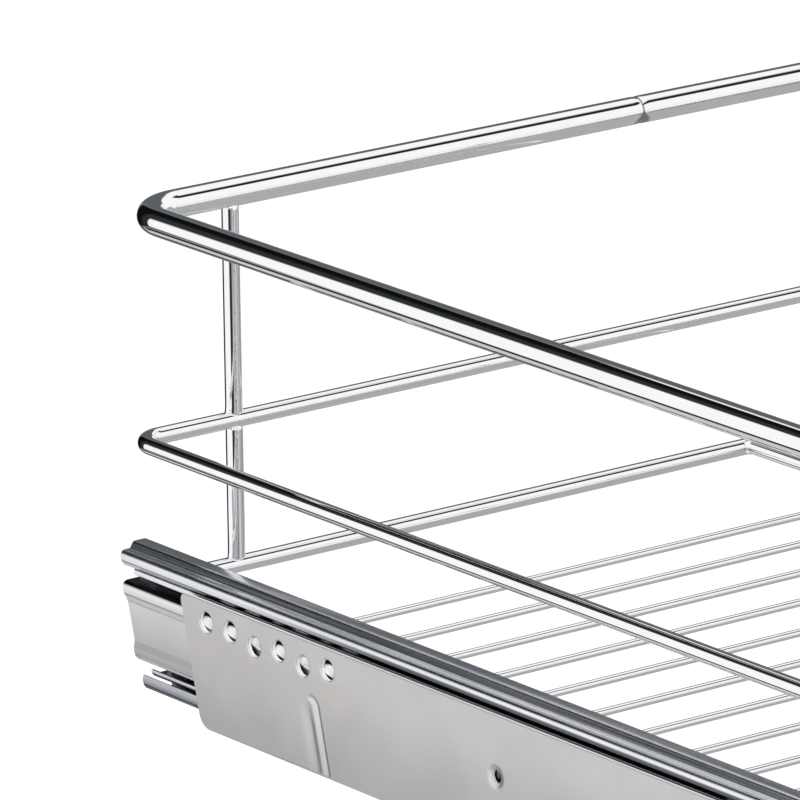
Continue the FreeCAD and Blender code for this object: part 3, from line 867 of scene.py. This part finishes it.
def plate_points(holes):
    """Inner points of the plate: a coarse grid, and a fine one that leans with the groove."""
    found = []
    columns, rows = 61, 9
    for column in range(columns):
        for row in range(rows):
            y, z = PLATE_FRONT + 4 + 6.0 * column, 1.4 + 5.33 * row
            clear = all(math.hypot(y - h[0], z - h[1]) > h[2] + 3.4 for h in holes)
            past_groove = not -5 < y - groove_front(z) < 16 or z > GROOVE_TOP + 2
            if clear and past_groove and y < PLATE_REAR - (PLATE_HEIGHT - z) * LEAN - 3:
                found.append(Vector((y, z)))
    heights = [0.8 + 0.8 * k for k in range(27)] + [22.4 + 0.25 * k for k in range(22)]
    runs = (-2, -0.4, 0, 0.35, 0.75, 1.15, 1.6, 2.2, 2.9, 3.6, 4.3, 5.0, 5.8, 6.6, 7.5, 8.6, 10, 11.4, 13)
    found += [Vector((groove_front(z) + run, z)) for z in heights for run in runs]
    return found


def plate_triangles(holes):
    """The plate lying flat: its points, its triangles, and the loops of its outline and its holes."""
    rims = [plate_outline(0.0)] + [ring(*hole) for hole in holes]
    inner = [plate_outline(SHEET_EASE)]
    inner += [ring(y, z, HOLE_R + HOLE_ROLL * share) for y, z in hole_places() for share in HOLE_RINGS]
    inner += [ring(y, z, SCREW_R + reach) for y, z in SCREWS for reach in DIMPLE_RINGS]
    points, edges = [], []
    for spots in rims + inner:
        base = len(points)
        points += spots
        edges += [(base + k, base + (k + 1) % len(spots)) for k in range(len(spots))]
    points += plate_points(holes)
    flat, _, triangles, origin, _, _ = delaunay_2d_cdt(points, edges, [], 1, 1e-4)
    where = {old: new for new, olds in enumerate(origin) for old in olds}
    loops, base = [], 0
    for spots in rims:
        loops.append([where[base + k] for k in range(len(spots))])
        base += len(spots)
    return flat, triangles, loops


def plate_mesh():
    """The right wall plate: a flat sheet with eased edges, holes, a pressed groove and dimples."""
    holes = [(y, z, HOLE_R) for y, z in hole_places()] + [(y, z, SCREW_R) for y, z in SCREWS]
    flat, triangles, loops = plate_triangles(holes)
    count = len(flat)
    outline = set(loops[0])
    drops = [SHEET_EASE if k in outline else 0.0 for k in range(count)]
    outer = [PLATE_FACE - press_depth(spot.x, spot.y, holes) - drop for spot, drop in zip(flat, drops)]
    inner = [PLATE_FACE - PLATE_SHEET + drop for drop in drops]
    verts = [Vector((x, spot.x, spot.y)) * MM for face in (outer, inner) for x, spot in zip(face, flat)]
    faces = []
    for a, b, c in triangles:
        centre = (flat[a] + flat[b] + flat[c]) / 3
        if all(math.hypot(centre.x - h[0], centre.y - h[1]) > h[2] for h in holes):
            faces += [(a, b, c), (count + c, count + b, count + a)]
    for loop in loops:
        for a, b in zip(loop, loop[1:] + loop[:1]):
            faces.append((a, b, count + b, count + a))
    mesh = bpy.data.meshes.new("wall_plate")
    mesh.from_pydata(verts, [], faces)
    mesh.update()
    tidy_normals(mesh)
    return mesh


def wall_plates():
    mesh = plate_mesh()
    for side, sign in SIDES:
        shape = mesh if sign > 0 else other_side(mesh)
        shape.name = f"{side}_wall_plate_sheet"
        made = piece(shape, "satin_plate", "cabinet_side", f"{side}_wall_plate")
        smooth(made.data, 40.0)


def dress_cad_nodes():
    """Balls, cages, lugs, rivets and buffers keep their CAD shape and get their finish."""
    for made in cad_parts.values():
        if not made.hide_render:
            slot = made.data.materials[0].name.split(".")[0]
            made.data.materials[0] = MATERIALS[slot]


bpy.context.scene.view_settings.view_transform = "Standard"
add_camera()
studio_world()
for lamp in LAMPS:
    add_lamp(*lamp)
add_floor()
rim()
rails()
posts()
floor_wires()
centre_support()
basket_member()
middle_member()
wall_member()
wall_plates()
dress_cad_nodes()
